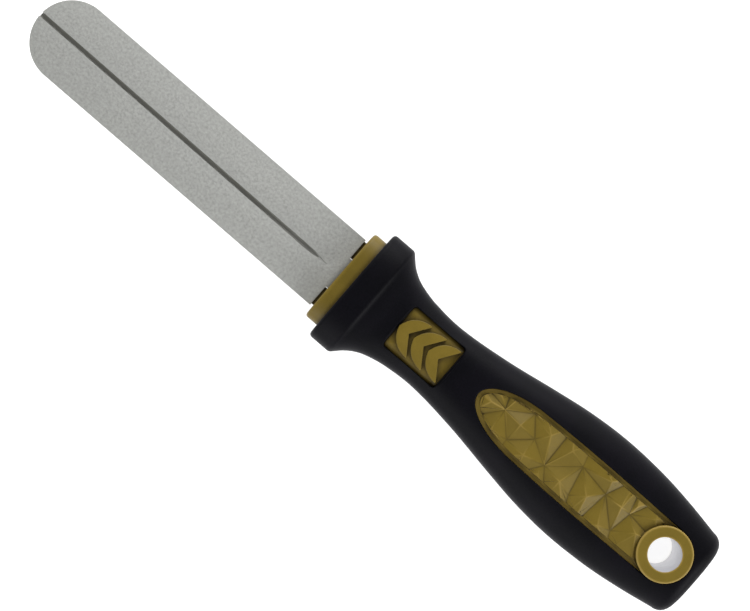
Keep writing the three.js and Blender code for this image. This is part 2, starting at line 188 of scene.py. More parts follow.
def round_edges(
    bm: bmesh.types.BMesh,
    wanted: Callable[[bmesh.types.BMEdge], bool],
    radius: float,
    segments: int = 3,
) -> None:
    """Rounds the edges that a test picks.

    Args:
        bm: the mesh.
        wanted: says which edges are rounded.
        radius: the width of the rounding, in millimetres.
        segments: how many faces it has across.
    """
    bmesh.ops.bevel(
        bm,
        geom=[edge for edge in bm.edges if edge.is_manifold and wanted(edge)],
        offset=radius,
        offset_type="OFFSET",
        affect="EDGES",
        segments=segments,
        profile=0.5,
        material=-1,
        clamp_overlap=True,
    )


def mark_bends(piece: bpy.types.Object, border: float, broad_area: float = 1.6, full: float = 16) -> None:
    """Writes how each point is bent as the attribute "bend": 1 on a ridge, -1 in a valley, 0 on a flat.

    Args:
        piece: the object.
        border: width of the strip that broad upper faces get along their edges, in millimetres.
        broad_area: the least area of a broad face, in square millimetres.
        full: the bend, in degrees, that counts as 1.
    """
    bm = bmesh.new()
    bm.from_mesh(piece.data)
    broad = [face for face in bm.faces if face.normal.z > 0.5 and face.calc_area() > broad_area]
    bmesh.ops.inset_individual(bm, faces=broad, thickness=border, use_even_offset=True)
    layer = bm.verts.layers.float.new("bend")
    for vert in bm.verts:
        edges = [edge for edge in vert.link_edges if edge.is_manifold]
        bends = [math.degrees(edge.calc_face_angle_signed(0)) for edge in edges]
        gentle = [bend for bend in bends if abs(bend) < STEEP_BEND]
        vert[layer] = max(-1.0, min(1.0, max(gentle, key=abs, default=0) / full))
    bm.to_mesh(piece.data)
    bm.free()


def as_object(bm: bmesh.types.BMesh, name: str) -> bpy.types.Object:
    """Returns: a new object that holds the mesh, which is freed."""
    mesh = bpy.data.meshes.new(name)
    bm.to_mesh(mesh)
    bm.free()
    made = bpy.data.objects.new(name, mesh)
    bpy.context.scene.collection.objects.link(made)
    return made


def combine(target: bpy.types.Object, tool: bmesh.types.BMesh, how: Join) -> None:
    """Adds a solid to an object, cuts it away or keeps what they share.

    Args:
        target: the object that changes.
        tool: the other solid, which is used up.
        how: which of the three.
    """
    other = as_object(tool, "tool")
    modifier = target.modifiers.new("combine", "BOOLEAN")
    modifier.operation = how.value
    modifier.solver = "EXACT"
    modifier.object = other
    evaluated = target.evaluated_get(bpy.context.evaluated_depsgraph_get())
    result = bpy.data.meshes.new_from_object(evaluated)
    target.modifiers.clear()
    old, target.data = target.data, result
    bpy.data.meshes.remove(old)
    bpy.data.meshes.remove(other.data)


def settle(
    piece: bpy.types.Object,
    material: bpy.types.Material,
    stands_for: str,
    sharp_above: float = 32,
    turn: Matrix | None = None,
) -> bpy.types.Object:
    """Puts a shaped piece in its place in the row, shades it and tells the frame about it.

    Args:
        piece: the object, still in the tool's own space.
        material: its finish.
        stands_for: the frame node that it replaces.
        sharp_above: edges that bend more than this many degrees stay sharp.
        turn: a turn about the tool's axis, for the back's pieces.

    Returns:
        The same object.
    """
    mesh = piece.data
    mesh.transform(TO_ROW @ (turn or Matrix.Identity(4)))
    mesh.name = piece.name
    mesh.polygons.foreach_set("use_smooth", [True] * len(mesh.polygons))
    mesh.set_sharp_from_angle(angle=math.radians(sharp_above))
    mesh.materials.clear()
    mesh.materials.append(material)
    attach(piece, BODY)
    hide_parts(stands_for)
    log.info("%s: %d faces", piece.name, len(mesh.polygons))
    return piece


# ---- Form of the handle -------------------------------------------------------------------------------


@dataclass(frozen=True)
class Station:
    """One cross-section of a loft along X: a superellipse with these half sizes, in millimetres."""

    x: float
    half_width: float
    half_height: float

    SEAM_ANGLE: ClassVar[float] = math.radians(0.35)

    def ring(self, power: float, sides: int, sink: float = 0, seam: float = 0) -> list[Vector]:
        """The section's outline.

        Args:
            power: how square the superellipse is. 2 is an ellipse.
            sides: number of points, an even number.
            sink: how far inside the section the outline lies.
            seam: depth of the narrow parting line along both flanks.

        Returns:
            Its points.
        """
        points = []
        for i in range(sides):
            from_seam = (i + 1) % (sides // 2) - 1
            angle = 2 * math.pi * i / sides
            if seam and abs(from_seam) == 1:
                angle -= from_seam * (2 * math.pi / sides - self.SEAM_ANGLE)
            depth = sink + (seam if from_seam == 0 else 0)
            across = signed_power(math.cos(angle), 2 / power) * (self.half_width - depth)
            up = signed_power(math.sin(angle), 2 / power) * (self.half_height - sink)
            points.append(Vector((self.x, across, up)))
        return points

    def rounded(self, radius: float, angles: Sequence[float]) -> list["Station"]:
        """Returns: sections that round a corner off, from this one's full size at angle 0."""
        insets = [radius * (1 - math.cos(a)) for a in angles]
        return [
            Station(self.x + radius * math.sin(a), self.half_width - inset, self.half_height - inset)
            for a, inset in zip(angles, insets)
        ]


@dataclass(frozen=True)
class HandleForm:
    """The outside of the soft grip: a flange, a waisted neck, a belly and a rounded butt.

    neck lists distance from the tip, half width and half thickness, in millimetres.
    """

    power: float = 2.6
    flange_rear: float = 111.3
    front_radius: float = 1.0
    rear_radius: float = 1.5
    butt_radius: float = 3.5
    butt_half_width: float = 12.45
    butt_half_height: float = 8.6
    row_pitch: float = 0.7
    neck: tuple[tuple[float, float, float], ...] = (
        (114.6, 14.2, 8.95),
        (117.1, 12.5, 8.45),
        (119.7, 11.45, 8.15),
        (124.8, 10.33, 7.85),
        (133.8, 9.77, 7.7),
        (147.8, 11.15, 8.25),
        (163.2, 13.7, 9.1),
        (173.4, 15.2, 9.45),
        (184.5, 15.93, 9.6),
        (196.4, 15.5, 9.4),
        (206.6, 14.25, 9.05),
    )

    @cache
    def rear_corner(self) -> list[Station]:
        """Returns: the stations that round the flange's rear corner down towards the neck."""
        high = span("grip_sleeve")[1]
        return Station(self.flange_rear, high.y, high.z).rounded(self.rear_radius, arc(6, 0, 45))

    @cache
    def knots(self) -> list[tuple[float, float, float]]:
        """Returns: every point that the neck and belly's smooth line goes through."""
        corner = self.rear_corner()[-1]
        butt = span("grip_sleeve")[1].x - self.butt_radius
        first = (corner.x, corner.half_width, corner.half_height)
        return [first, *self.neck, (butt, self.butt_half_width, self.butt_half_height)]

    def station(self, x: float) -> Station:
        """The neck or belly's section at a distance from the tip.

        Args:
            x: the distance, between the flange's corner and the butt's.

        Returns:
            The section, from a cubic through the knots on each side.
        """
        knots = self.knots()
        last = len(knots) - 1
        i = min(max(k for k in range(last) if k == 0 or knots[k][0] <= x), last - 1)
        width = knots[i + 1][0] - knots[i][0]
        t = (x - knots[i][0]) / width

        def slope(k: int, axis: int) -> float:
            """Returns: the line's slope at a knot, from the knots on both sides of it."""
            before, after = knots[max(k - 1, 0)], knots[min(k + 1, last)]
            return (after[axis] - before[axis]) / (after[0] - before[0])

        def value(axis: int) -> float:
            """Returns: the half width, for axis 1, or the half thickness, for axis 2."""
            start, end = knots[i][axis], knots[i + 1][axis]
            leave, arrive = slope(i, axis) * width, slope(i + 1, axis) * width
            return (
                start * (2 * t**3 - 3 * t**2 + 1)
                + leave * (t**3 - 2 * t**2 + t)
                + end * (3 * t**2 - 2 * t**3)
                + arrive * (t**3 - t**2)
            )

        return Station(x, value(1), value(2))

    def stations(self) -> list[Station]:
        """Returns: every station of the sleeve, from the flange's front face to the butt."""
        low, high = span("grip_sleeve")
        front = Station(low.x + self.front_radius, high.y, high.z)
        stations = front.rounded(self.front_radius, arc(6, -90, 0))
        rear = self.rear_corner()
        stations += rear
        start, end = rear[-1].x, high.x - self.butt_radius
        rows = round((end - start) / self.row_pitch)
        stations += [self.station(start + (end - start) * i / rows) for i in range(1, rows)]
        butt = Station(end, self.butt_half_width, self.butt_half_height)
        return stations + butt.rounded(self.butt_radius, arc(10, 0, 90))

    def crown(self, point: Vector, sink: float = 0) -> float:
        """The height of the grip's front surface.

        Args:
            point: where, in plan.
            sink: how far below the surface.

        Returns:
            The height over the middle plane, in millimetres.
        """
        station = self.station(point.x)
        side = min(abs(point.y) / (station.half_width - sink), 1) ** self.power
        return (station.half_height - sink) * (1 - side) ** (1 / self.power)


FORM = HandleForm()


# ---- Finishes -----------------------------------------------------------------------------------------


def linear(colour: str) -> tuple[float, float, float, float]:
    """Returns: an sRGB hex colour, such as "7b662d", as linear red, green, blue and alpha."""
    parts = [int(colour[i : i + 2], 16) / 255 for i in (0, 2, 4)]
    red, green, blue = (c / 12.92 if c <= 0.04045 else ((c + 0.055) / 1.055) ** 2.4 for c in parts)
    return red, green, blue, 1.0


def per_metre(size_mm: float) -> float:
    """Returns: the texture scale at which a pattern's features are this many millimetres across."""
    return 1 / (size_mm * MM)


def add(
    tree: bpy.types.NodeTree,
    kind: str,
    values: dict[str | int, object] | None = None,
    links: dict[str | int, bpy.types.NodeSocket] | None = None,
    **settings: object,
) -> bpy.types.Node:
    """Adds a node with its settings and links.

    Args:
        tree: the material's node tree.
        kind: the node's type name.
        values: constant numbers or colours, by input.
        links: outputs of other nodes, by the input that each one feeds.
        settings: the node's own properties.

    Returns:
        The new node.
    """
    made = tree.nodes.new(kind)
    for name, value in settings.items():
        setattr(made, name, value)
    for socket, value in (values or {}).items():
        made.inputs[socket].default_value = value
    for socket, source in (links or {}).items():
        tree.links.new(source, made.inputs[socket])
    return made


@dataclass(frozen=True)
class Finish:
    """A finish that covers a surface: two close colours in clouds, a fine grain, a painted highlight
    along edges and ridges and painted shade in creases and valleys.

    Sizes are in millimetres. grain_stretch draws the grain out along the tool.
    """

    name: str
    colour: str
    second: str
    # edge is a painted highlight on thin edges and ridges. The crease tone is painted shade in creases,
    # recesses and valleys, or painted light where it is paler than the colour.
    edge: str
    painted_crease_tone: str
    cloud: float
    grain: float
    grain_contrast: float
    bump: float
    smooth: float
    rough: float
    metallic: float = 0.0
    grain_stretch: float = 1.0
    sheen: float = 0.0
    sheen_tint: str = "ffffff"
    specular: float = 0.5
    crease_reach: float = 1.5
    crease_from: float = 0.95
    crease_full: float = 0.3
    edge_reach: float = 0.35
    edge_from: float = 0.62
    edge_full: float = 0.3
    bend_from: float = 0.1
    valley_full: float = -1.1

    def material(self) -> bpy.types.Material:
        """Returns: the finish's material, made the first time that it is asked for."""
        known = bpy.data.materials.get(self.name)
        if known:
            return known
        made = bpy.data.materials.new(self.name)
        made.use_nodes = True
        tree = made.node_tree
        tree.nodes.clear()

        place = add(tree, "ShaderNodeTexCoord").outputs["Object"]
        stretched = add(
            tree,
            "ShaderNodeMapping",
            {"Scale": (1 / self.grain_stretch, 1, 1)},
            {"Vector": place},
        ).outputs["Vector"]
        clouds = add(
            tree,
            "ShaderNodeTexNoise",
            {"Scale": per_metre(self.cloud), "Detail": 3.0, "Roughness": 0.55},
            {"Vector": place},
        ).outputs["Fac"]
        grain = add(
            tree,
            "ShaderNodeTexNoise",
            {"Scale": per_metre(self.grain), "Detail": 2.0, "Roughness": 0.6},
            {"Vector": stretched},
        ).outputs["Fac"]

        base = add(
            tree,
            "ShaderNodeMix",
            {"A": linear(self.colour), "B": linear(self.second)},
            {"Factor": self._steepened(tree, clouds, 0.38, 0.62)},
            data_type="RGBA",
        )
        base = self._coloured(base)
        speckle = add(
            tree,
            "ShaderNodeMapRange",
            {
                "From Min": 0.25,
                "From Max": 0.75,
                "To Min": -self.grain_contrast,
                "To Max": self.grain_contrast,
            },
            {"Value": grain},
        ).outputs["Result"]
        brightness = add(tree, "ShaderNodeMath", {1: 1.0}, {0: speckle}, operation="ADD").outputs[0]
        grained = add(
            tree,
            "ShaderNodeVectorMath",
            links={"Vector": base, "Scale": brightness},
            operation="SCALE",
        ).outputs["Vector"]

        # Painted light: the edge colour is a painted highlight where the inside occlusion finds a thin
        # edge. The crease tone is painted shade where the outside occlusion finds a crease or recess, or
        # painted light where it is paler.
        open_sky = self._occlusion(tree, self.crease_reach, inside=False)
        thick = self._occlusion(tree, self.edge_reach, inside=True)
        at_edge = self._steepened(tree, thick, self.edge_from, self.edge_full)
        edge_painted = self._mixed(tree, grained, self.edge, at_edge)
        in_crease = self._steepened(tree, open_sky, self.crease_from, self.crease_full)
        crease_painted = self._mixed(tree, edge_painted, self.painted_crease_tone, in_crease)
        # The bend attribute adds a painted highlight on ridges and painted shade in valleys.
        bend = add(tree, "ShaderNodeAttribute", attribute_name="bend").outputs["Fac"]
        on_ridge = self._steepened(tree, bend, self.bend_from, 1.0)
        ridge_painted = self._mixed(tree, crease_painted, self.edge, on_ridge)
        in_valley = self._steepened(tree, bend, -self.bend_from, self.valley_full)
        lined = self._mixed(tree, ridge_painted, self.painted_crease_tone, in_valley)

        roughness = add(
            tree,
            "ShaderNodeMapRange",
            {"From Min": 0.3, "From Max": 0.7, "To Min": self.smooth, "To Max": self.rough},
            {"Value": grain},
        ).outputs["Result"]
        relief = add(
            tree,
            "ShaderNodeBump",
            {"Strength": 1.0, "Distance": self.bump * MM},
            {"Height": grain},
        ).outputs["Normal"]
        shader = add(
            tree,
            "ShaderNodeBsdfPrincipled",
            {
                "Metallic": self.metallic,
                "Specular IOR Level": self.specular,
                "Sheen Weight": self.sheen,
                "Sheen Roughness": 0.3,
                "Sheen Tint": linear(self.sheen_tint),
            },
            {"Base Color": lined, "Roughness": roughness, "Normal": relief},
        )
        add(tree, "ShaderNodeOutputMaterial", links={"Surface": shader.outputs["BSDF"]})
        return made

    def _occlusion(self, tree: bpy.types.NodeTree, reach: float, inside: bool) -> bpy.types.NodeSocket:
        """Returns: how open a point is within reach millimetres, outside it or inside the piece."""
        values = {"Distance": reach * MM}
        return add(tree, "ShaderNodeAmbientOcclusion", values, samples=8, inside=inside).outputs["AO"]

    def _steepened(
        self,
        tree: bpy.types.NodeTree,
        source: bpy.types.NodeSocket,
        low: float,
        high: float,
    ) -> bpy.types.NodeSocket:
        """Returns: the source spread so that low gives 0 and high gives 1, and clamped."""
        values = {"From Min": low, "From Max": high}
        return add(tree, "ShaderNodeMapRange", values, {"Value": source}).outputs["Result"]

    def _coloured(self, mix: bpy.types.Node) -> bpy.types.NodeSocket:
        """Returns: the colour output of a mix node."""
        return next(socket for socket in mix.outputs if socket.enabled)

    def _mixed(
        self,
        tree: bpy.types.NodeTree,
        source: bpy.types.NodeSocket,
        colour: str,
        share: bpy.types.NodeSocket,
    ) -> bpy.types.NodeSocket:
        """Returns: the source mixed with a colour, where share is 1."""
        mix = add(tree, "ShaderNodeMix", data_type="RGBA")
        inputs = {socket.name: socket for socket in mix.inputs if socket.enabled}
        inputs["B"].default_value = linear(colour)
        tree.links.new(source, inputs["A"])
        tree.links.new(share, inputs["Factor"])
        return self._coloured(mix)


# In every finish below, edge is a painted highlight and crease is painted shade, except that the ground
# steel's paler crease is painted light.
# Electroplated nickel over diamond grit: even matt grey that sparkles a little. The real grit is finer.
DIAMOND_COAT = Finish(
    name="electroplated_diamond_grit",
    colour="9e9f9d", second="a1a29f", edge="a0a19d", painted_crease_tone="62615c",
    cloud=14, grain=0.7, grain_contrast=0.9, bump=0.06, smooth=0.5, rough=0.68, metallic=0.25,
)
# Ground steel plate: bright, with fine lines along the tool from the grinding belt. Its crease tone,
# paler than its colour, is painted light in the groove and other recesses.
GROUND_STEEL = Finish(
    name="ground_steel_plate",
    colour="7c7c78", second="868682", edge="8e8e8a", painted_crease_tone="97968f",
    cloud=9, grain=0.2, grain_contrast=0.1, bump=0.015, smooth=0.3, rough=0.46, metallic=0.9,
    grain_stretch=30,
)
# Moulded nylon in olive: satin, with a fine spark-eroded grain. Its paler edges are a painted highlight
# and its dark crease tone is painted shade.
OLIVE_NYLON = Finish(
    name="moulded_olive_nylon",
    colour="685715", second="6e5c19", edge="927b3a", painted_crease_tone="2a2106",
    cloud=6, grain=0.3, grain_contrast=0.06, bump=0.02, smooth=0.42, rough=0.56, specular=0.27,
)
# Soft-touch TPE: matt blue-black, with a fine eroded grain that scatters light at grazing angles.
SOFT_TPE = Finish(
    name="soft_touch_black_tpe",
    colour="06060a", second="09080e", edge="0b0b10", painted_crease_tone="030304",
    cloud=11, grain=0.35, grain_contrast=0.3, bump=0.03, smooth=0.44, rough=0.54, specular=0.07,
    sheen=0.025, sheen_tint="c6c0e0",
)
# Drawn aluminium tube, satin inside.
DRAWN_TUBE = Finish(
    name="drawn_aluminium_tube",
    colour="d6d6da", second="dcdce0", edge="ececee", painted_crease_tone="a8a8ac",
    cloud=3, grain=0.1, grain_contrast=0.04, bump=0.008, smooth=0.34, rough=0.46, metallic=0.9,
)
# The core's hidden nylon, as it leaves the mould.
CORE_NYLON = Finish(
    name="moulded_core_nylon",
    colour="5b4c22", second="645426", edge="74632f", painted_crease_tone="3a3014",
    cloud=8, grain=0.25, grain_contrast=0.06, bump=0.02, smooth=0.5, rough=0.62,
)
# Plain turned steel of the hidden pins.
TURNED_STEEL = Finish(
    name="turned_steel_pin",
    colour="96968f", second="a2a29c", edge="babab6", painted_crease_tone="55554f",
    cloud=4, grain=0.12, grain_contrast=0.06, bump=0.01, smooth=0.28, rough=0.4, metallic=1.0,
)


# ---- Sub-assemblies -----------------------------------------------------------------------------------


@dataclass
class Blade:
    """The steel plate with its tang and hook groove, and the diamond coat on each face."""

    tang_half_width: float = 4.75
    groove_width: float = 1.25
    groove_depth: float = 1.1
    ramp_from: float = 72.4
    taper_from: float = 92.8
    groove_end: float = 97.0
    groove_tip_y: float = 0.46
    groove_skew: float = -0.0073
    groove_bulge: float = 0.35
    ramp_depth: float = 0.28
    end_depth: float = 0.06
    end_half_width: float = 0.02
    pin_hole_radius: float = 1.8
    shoulder_chamfer: float = 0.2
    collar_gap: float = 0.05
    edge_radius: float = 0.12
    tip_steps: int = 64

    def outline(self, end: float, tang_end: float) -> list[Vector]:
        """The blade's plan outline.

        Args:
            end: where the full width ends.
            tang_end: how far the tang reaches.

        Returns:
            Its points, anticlockwise.
        """
        radius = span("blade_plate")[1].y
        tip = [
            Vector((radius + radius * math.cos(a), radius * math.sin(a), 0))
            for a in arc(self.tip_steps, 90, 270)
        ]
        tang = self.tang_half_width
        lower = [Vector((end, -radius, 0)), Vector((end, -tang, 0)), Vector((tang_end, -tang, 0))]
        upper = [Vector((p.x, -p.y, 0)) for p in reversed(lower)]
        return [*upper, *tip, *lower]

    def groove(self) -> bmesh.types.BMesh:
        """Returns: the groove's cutter, a rounded trough that ramps up and closes to a point."""
        face = span("front_diamond_layer")[1].z
        half = self.groove_width / 2
        floor = face - self.groove_depth
        stations = (
            (-OVERCUT, half, floor),
            (self.ramp_from, half, floor),
            (self.taper_from, half, face - self.ramp_depth),
            (self.groove_end, self.end_half_width, face - self.end_depth),
        )
        rings = []
        for x, width, bottom in stations:
            trough = [
                Vector((x, width * math.cos(a), bottom + width * self.groove_bulge * (1 + math.sin(a))))
                for a in arc(6, 180, 360)
            ]
            above = face + OVERCUT
            rings.append([*trough, Vector((x, width, above)), Vector((x, -width, above))])
        bm = skin(rings)
        skew = Matrix.Rotation(self.groove_skew, 4, "Z")
        bm.transform(Matrix.Translation((0, self.groove_tip_y, 0)) @ skew)
        return bm

    def build_plate(self) -> bpy.types.Object:
        """Returns: the steel plate."""
        low, high = span("blade_plate")
        shoulder = span("front_diamond_layer")[1].x
        bm = prism(self.outline(shoulder, high.x), low.z, high.z)

        def at_shoulder(edge: bmesh.types.BMEdge) -> bool:
            """Returns: whether the edge runs along a shoulder beside the tang."""
            ends = [vert.co for vert in edge.verts]
            flat = abs(ends[0].z - ends[1].z) < SAME
            outside = min(abs(p.y) for p in ends) > self.tang_half_width - SAME
            return flat and outside and all(abs(p.x - shoulder) < SAME for p in ends)

        round_edges(bm, at_shoulder, self.shoulder_chamfer, segments=4)
        plate = as_object(bm, "sharpener_plate")
        for node in ("tang_pin_fore", "tang_pin_aft"):
            pin_low, pin_high = span(node)
            hole = circle(self.pin_hole_radius, (pin_low.x + pin_high.x) / 2, 32)
            combine(plate, prism(hole, low.z - OVERCUT, high.z + OVERCUT), Join.CUT)
        combine(plate, self.groove(), Join.CUT)
        return settle(plate, GROUND_STEEL.material(), "blade_plate")

    def build_coat(self, side: Side) -> bpy.types.Object:
        """Returns: the diamond coat of one face. Only the front's has the groove."""
        low, high = span("front_diamond_layer")
        reach = span("collar")[0].x + Collar.lip_length - self.collar_gap
        coat = prism(self.outline(high.x, reach), low.z, high.z)
        piece = as_object(coat, f"{side.value}_diamond_coat")
        if side is Side.FRONT:
            combine(piece, self.groove(), Join.CUT)
        bm = bmesh.new()
        bm.from_mesh(piece.data)

        def on_top(edge: bmesh.types.BMEdge) -> bool:
            """Returns: whether the edge bounds the coat's outer face."""
            flat = all(abs(vert.co.z - high.z) < SAME for vert in edge.verts)
            return flat and edge.calc_face_angle(0) > math.radians(40)

        round_edges(bm, on_top, self.edge_radius)
        bm.to_mesh(piece.data)
        bm.free()
        node = f"{side.value}_diamond_layer"
        return settle(piece, DIAMOND_COAT.material(), node, turn=side.turn())

    def build(self) -> list[bpy.types.Object]:
        """Returns: the plate and both coats."""
        return [self.build_plate(), *(self.build_coat(side) for side in Side)]


@dataclass
class Collar:
    """The hard end of the handle in front of the flange, with a slot for the tang and two stop lips."""

    power: float = 3.2
    edge_radius: float = 0.8
    sides: int = 128
    lip_half_height: float = 0.4
    lip_half_width: float = 10.4
    lip_length: float = 0.8
    lip_root: float = 0.5
    slot_gap: float = 0.12

    def build(self) -> bpy.types.Object:
        """Returns: the collar."""
        low, high = span("collar")
        plate_low, plate_high = span("blade_plate")
        front = Station(low.x + self.lip_length + self.edge_radius, high.y, high.z)
        stations = front.rounded(self.edge_radius, arc(6, -90, 0))
        stations.append(Station(high.x, high.y, high.z))
        piece = as_object(skin([s.ring(self.power, self.sides) for s in stations]), "moulded_collar")
        lips = rectangle(low.x, high.x - self.lip_root, self.lip_half_width)
        combine(piece, prism(lips, -self.lip_half_height, self.lip_half_height), Join.ADD)
        slot = rectangle(low.x - OVERCUT, high.x + OVERCUT, Blade.tang_half_width + self.slot_gap)
        combine(piece, prism(slot, plate_low.z - self.slot_gap, plate_high.z + self.slot_gap), Join.CUT)
        return settle(piece, OLIVE_NYLON.material(), "collar")


@dataclass
class Inlay:
    """What the thumb plate and the grip panel share: a plate with a crowned, sunken top."""

    side: Side
    recess: float = 1.1
    edge_radius: float = 0.15
    seam: float = 0.05
    tiles: int = 14

    def plate(self, outline: Ring, seat: float, sink: float) -> bmesh.types.BMesh:
        """A closed plate whose top follows the grip's crown.

        Args:
            outline: its plan outline, anticlockwise.
            seat: the height of its flat underside.
            sink: how far its top lies below the grip's surface.

        Returns:
            The plate's mesh.
        """
        rings = [lifted(outline, lambda p: seat)]
        for angle in arc(4, 0, 90):
            inset = self.edge_radius * (1 - math.cos(angle))
            drop = self.edge_radius * (1 - math.sin(angle))
            moved = offset(outline, -inset)
            rings.append(lifted(moved, lambda p, d=drop: FORM.crown(p, sink) - d))
        rim = rings[-1]
        middle = sum(rim, Vector()) / len(rim)
        for i in range(1, self.tiles + 1):
            shrunk = [p.lerp(middle, i / self.tiles) for p in rim]
            rings.append(lifted(shrunk, lambda p: FORM.crown(p, sink)))
        return skin(rings)


@dataclass
class ThumbPlate(Inlay):
    """The sunken thumb rest in the neck, with raised chevrons that point at the blade."""

    window_half_width: float = 6.5
    window_gap: float = 0.3
    corner: float = 1.0
    chevrons: int = 3
    first_nose: float = 121.1
    pitch: float = 4.88
    length: float = 6.6
    notch: float = 3.25
    half_span: float = 5.2
    relief_below_grip: float = 0.15
    chevron_edge: float = 0.16
    nose_pull: tuple[float, float] = (1.3, 4.9)
    flat_tip: float = 0.35
    tip_run: float = 0.1
    root: float = 0.5
    steps: int = 14

    def window(self, margin: float) -> list[Vector]:
        """Returns: the window's outline, a rounded rectangle, moved inwards by margin."""
        low, high = span("front_thumb_plate")
        start, end = low.x - self.window_gap + margin, high.x + self.window_gap - margin
        side = self.window_half_width - margin
        r = self.corner
        corners = (
            (end - r, -side + r, -90),
            (end - r, side - r, 0),
            (start + r, side - r, 90),
            (start + r, -side + r, 180),
        )
        return [
            Vector((x + r * math.cos(a), y + r * math.sin(a), 0))
            for x, y, start_angle in corners
            for a in arc(12, start_angle, start_angle + 90)
        ]

    def chevron(self, nose: float) -> bmesh.types.BMesh:
        """Returns: one raised chevron, with curved outer edges and a straight notch behind."""
        outer = []
        for i in range(self.steps + 1):
            t = i / self.steps
            x = 2 * t * (1 - t) * self.nose_pull[0] + t * t * (self.length - self.tip_run)
            y = 2 * t * (1 - t) * self.nose_pull[1] + t * t * self.half_span
            outer.append((nose + x, y))
        tip = (nose + self.length, self.half_span - self.flat_tip)
        half = [*outer, tip, (nose + self.notch, 0)]
        outline = [Vector((x, -y, 0)) for x, y in half]
        outline += [Vector((x, y, 0)) for x, y in reversed(half[1:-1])]
        bm = bmesh.new()
        seat = span("front_thumb_plate")[0].z + self.root
        face = bm.faces.new([bm.verts.new((p.x, p.y, seat)) for p in outline])
        grown = bmesh.ops.extrude_face_region(bm, geom=[face], use_keep_orig=True)
        top = [item for item in grown["geom"] if isinstance(item, bmesh.types.BMVert)]
        for vert in top:
            vert.co.z = FORM.crown(vert.co, self.relief_below_grip)
        bmesh.ops.recalc_face_normals(bm, faces=bm.faces[:])

        def upper(edge: bmesh.types.BMEdge) -> bool:
            """Returns: whether the edge bounds the chevron's top."""
            return all(vert.co.z > seat + 1 for vert in edge.verts)

        round_edges(bm, upper, self.chevron_edge)
        return bm

    def build(self) -> bpy.types.Object:
        """Returns: the thumb plate of one side."""
        seat = span("front_thumb_plate")[0].z
        plate = self.plate(self.window(self.seam), seat, self.recess)
        piece = as_object(plate, f"{self.side.value}_thumb_rest")
        for i in range(self.chevrons):
            combine(piece, self.chevron(self.first_nose + i * self.pitch), Join.ADD)
        node = f"{self.side.value}_thumb_plate"
        return settle(piece, OLIVE_NYLON.material(), node, turn=self.side.turn())


